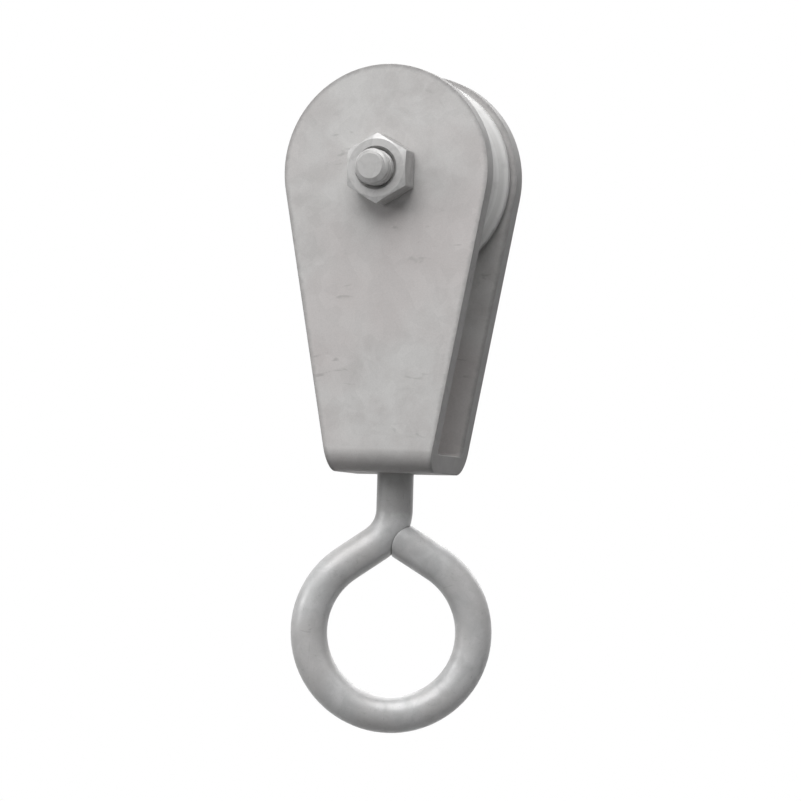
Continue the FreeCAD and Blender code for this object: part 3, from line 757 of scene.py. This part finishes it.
# The nut's own thread follows the bolt's, a hair wider, and runs out at both mouths
threadLength = nutHigh - nutLow - 2 * nutLook["mouth"]
rowCount = math.ceil(threadLength / thread["pitch"] * thread["rows"])
for row in range(1, rowCount):
    along = nutHigh - nutLook["mouth"] - threadLength * row / rowCount
    fade = min(1, (row - 1) / nutLook["leadRows"], (rowCount - 1 - row) / nutLook["leadRows"])
    radii = [bore + (threadRadius(a, along, thread["play"]) - bore) * fade for a in angles]
    rings.append([circle(radius, along, [a])[0] for a, radius in zip(angles, radii)])
nut = newPiece("hexNut", skin(rings, "hexNut", angle=thread["sharpFrom"], closed=True), "frame", axle)
softenEdges(nut, nutLook["edgeRadius"])
nut.data.materials.append(zincPlated("platedNut", nutLook))
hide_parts("axle_nut")
print("bolt and nut done")


# Floor, light and camera

stageLook = {
    "floorHeight": -0.2, "floorRadius": 2.2, "floorSides": 96, "clear": (200, 700), "floorRough": 0.8,
    "floor": (0.88, 0.88, 0.88), "bounce": (0.1, 0.1, 0.1), "ambient": (0.12, 0.122, 0.126),
    "backdrop": (1, 1, 1), "lampAim": (0, 0, -0.02),
}
bpy.ops.mesh.primitive_circle_add(vertices=stageLook["floorSides"], radius=stageLook["floorRadius"],
                                  fill_type="NGON", location=(0, 0, stageLook["floorHeight"]))
floor = bpy.context.object
floor.name = "paleFloor"
# The floor fades out into the backdrop, and its shade is darker where it only throws light back
recipe = Recipe("paleFloor")
fromMiddle = recipe.add("ShaderNodeVectorMath", operation="LENGTH")
recipe.feed(fromMiddle.inputs[0], recipe.place)
solid = recipe.remap(fromMiddle.outputs["Value"], stageLook["clear"], (1, 0))
shade = recipe.blend(seenDirectly(recipe.tree), stageLook["bounce"], stageLook["floor"])
recipe.feed(recipe.shader.inputs["Base Color"], shade)
recipe.feed(recipe.shader.inputs["Alpha"], solid)
recipe.feed(recipe.shader.inputs["Roughness"], stageLook["floorRough"])
floor.data.materials.append(recipe.material)

# A white backdrop that sends out only the ambient light
world = bpy.data.worlds.new("studio")
scene.world = world
world.use_nodes = True
skyColour = world.node_tree.nodes.new("ShaderNodeMix")
skyColour.data_type = "RGBA"
skyColour.inputs[6].default_value = (*stageLook["ambient"], 1)
skyColour.inputs[7].default_value = (*stageLook["backdrop"], 1)
world.node_tree.links.new(seenDirectly(world.node_tree), skyColour.inputs["Factor"])
world.node_tree.links.new(skyColour.outputs[2], world.node_tree.nodes["Background"].inputs["Color"])

lamps = {
    "high": {"place": (-0.04, -0.60, 0.74), "size": 1.1, "power": 12.5},
    "left": {"place": (-0.85, -0.55, 0.35), "size": 0.6, "power": 3.0},
    "behind": {"place": (0.0, 0.85, 0.75), "size": 1.5, "power": 10.0},
    "right": {"place": (0.75, -0.3, 0.5), "size": 0.8, "power": 1.0},
}
for name, lamp in lamps.items():
    light = bpy.data.lights.new(name, "AREA")
    light.shape = "DISK"
    light.size = lamp["size"]
    light.energy = lamp["power"]
    holder = bpy.data.objects.new(name, light)
    scene.collection.objects.link(holder)
    holder.location = lamp["place"]
    aim = Vector(stageLook["lampAim"]) - Vector(lamp["place"])
    holder.rotation_euler = aim.to_track_quat("-Z", "Y").to_euler()

cameraLook = {
    "azimuth": 18.5, "elevation": -2.6, "lean": 1.6, "distance": 0.75, "aim": (0.0005, 0, -0.0195),
    "lens": 205, "sensor": 36, "clip": (0.05, 8),
}
azimuth, elevation = math.radians(cameraLook["azimuth"]), math.radians(cameraLook["elevation"])
backwards = Vector((math.sin(azimuth) * math.cos(elevation), -math.cos(azimuth) * math.cos(elevation),
                    math.sin(elevation)))
cameraData = bpy.data.cameras.new("camera")
cameraData.lens = cameraLook["lens"]
cameraData.sensor_width = cameraLook["sensor"]
cameraData.clip_start, cameraData.clip_end = cameraLook["clip"]
camera = bpy.data.objects.new("camera", cameraData)
scene.collection.objects.link(camera)
level = (-backwards).to_track_quat("-Z", "Y").to_matrix().to_4x4()
place = Matrix.Translation(Vector(cameraLook["aim"]) + backwards * cameraLook["distance"])
camera.matrix_world = place @ level @ Matrix.Rotation(math.radians(cameraLook["lean"]), 4, "Z")
scene.camera = camera
scene.view_settings.view_transform = "Standard"
print("floor, light and camera done")
